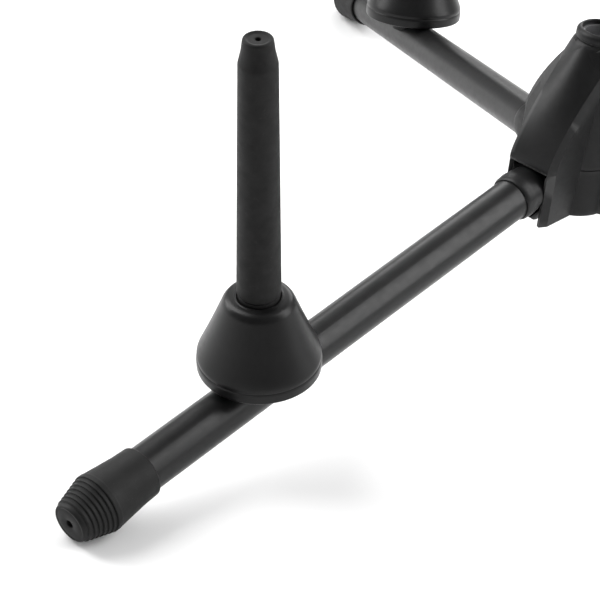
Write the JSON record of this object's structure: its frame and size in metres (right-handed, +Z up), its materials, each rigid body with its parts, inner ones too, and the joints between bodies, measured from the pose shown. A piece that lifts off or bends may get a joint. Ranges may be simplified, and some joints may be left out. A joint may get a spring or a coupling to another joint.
{
  "type": "tripod wind instrument stand base",
  "caption": "Low folding tripod stand in black: domed hub with a post socket, sloping tube legs on ribbed rubber feet, and tapered rubber instrument pegs on conical bases.",
  "frame": {"origin": "point on the floor under the hub's vertical centre line", "axes": "+Z up along the hub's post socket, +X along the leg that has no peg"},
  "size_m": [0.3942, 0.4538, 0.1628],
  "materials": {
    "moulded_hub": "satin fine grain",
    "moulded_base": "satin",
    "powder_coat": "satin powder coat",
    "foot_rubber": "matte",
    "peg_rubber": "matte mottled",
    "cast_alloy": "as cast",
    "steel": "zinc plated",
    "brass": "turned",
    "nylon": "natural"
  },
  "bodies": {
    "hub": {"hub_shell": "moulded_hub", "hub_stem": "cast_alloy", "collar_ring": "moulded_hub", "post_screw": "steel", "pivot_bracket_1": "cast_alloy", "pivot_pin_1": "steel", "pivot_washers_1": "nylon", "pivot_bracket_2": "cast_alloy", "pivot_pin_2": "steel", "pivot_washers_2": "nylon", "pivot_bracket_3": "cast_alloy", "pivot_pin_3": "steel", "pivot_washers_3": "nylon"},
    "leg_1": {"knuckle_1": "moulded_hub", "leg_tube_1": "powder_coat", "tube_screw_1": "steel", "rubber_foot_1": "foot_rubber", "thread_insert_1": "brass", "peg_saddle_1": "foot_rubber"},
    "leg_2": {"knuckle_2": "moulded_hub", "leg_tube_2": "powder_coat", "tube_screw_2": "steel", "rubber_foot_2": "foot_rubber", "thread_insert_2": "brass", "peg_saddle_2": "foot_rubber"},
    "leg_3": {"knuckle_3": "moulded_hub", "leg_tube_3": "powder_coat", "tube_screw_3": "steel", "rubber_foot_3": "foot_rubber"},
    "peg_1": {"peg_base_1": "moulded_base", "jam_nut_1": "steel", "peg_rod_1": "steel", "peg_sleeve_1": "peg_rubber"},
    "peg_2": {"peg_base_2": "moulded_base", "jam_nut_2": "steel", "peg_rod_2": "steel", "peg_sleeve_2": "peg_rubber"}
  },
  "joints": [
    {"name": "leg_1_fold", "type": "hinge", "parent": "hub", "child": "leg_1", "pos_m": [-0.00857, -0.01484, 0.05799], "axis": [0.866, -0.5, 0], "range_deg": [0, 78]},
    {"name": "leg_2_fold", "type": "hinge", "parent": "hub", "child": "leg_2", "pos_m": [-0.00857, 0.01484, 0.05799], "axis": [-0.866, -0.5, 0], "range_deg": [0, 78]},
    {"name": "leg_3_fold", "type": "hinge", "parent": "hub", "child": "leg_3", "pos_m": [0.01714, 0, 0.05799], "axis": [0, 1, 0], "range_deg": [0, 78]},
    {"name": "peg_1_turn", "type": "hinge", "parent": "leg_1", "child": "peg_1", "pos_m": [-0.08622, -0.14934, 0.02583], "axis": [-0.0808, -0.14, 0.9869], "continuous": true},
    {"name": "peg_2_turn", "type": "hinge", "parent": "leg_2", "child": "peg_2", "pos_m": [-0.08622, 0.14934, 0.02583], "axis": [-0.0808, 0.14, 0.9869], "continuous": true}
  ]
}
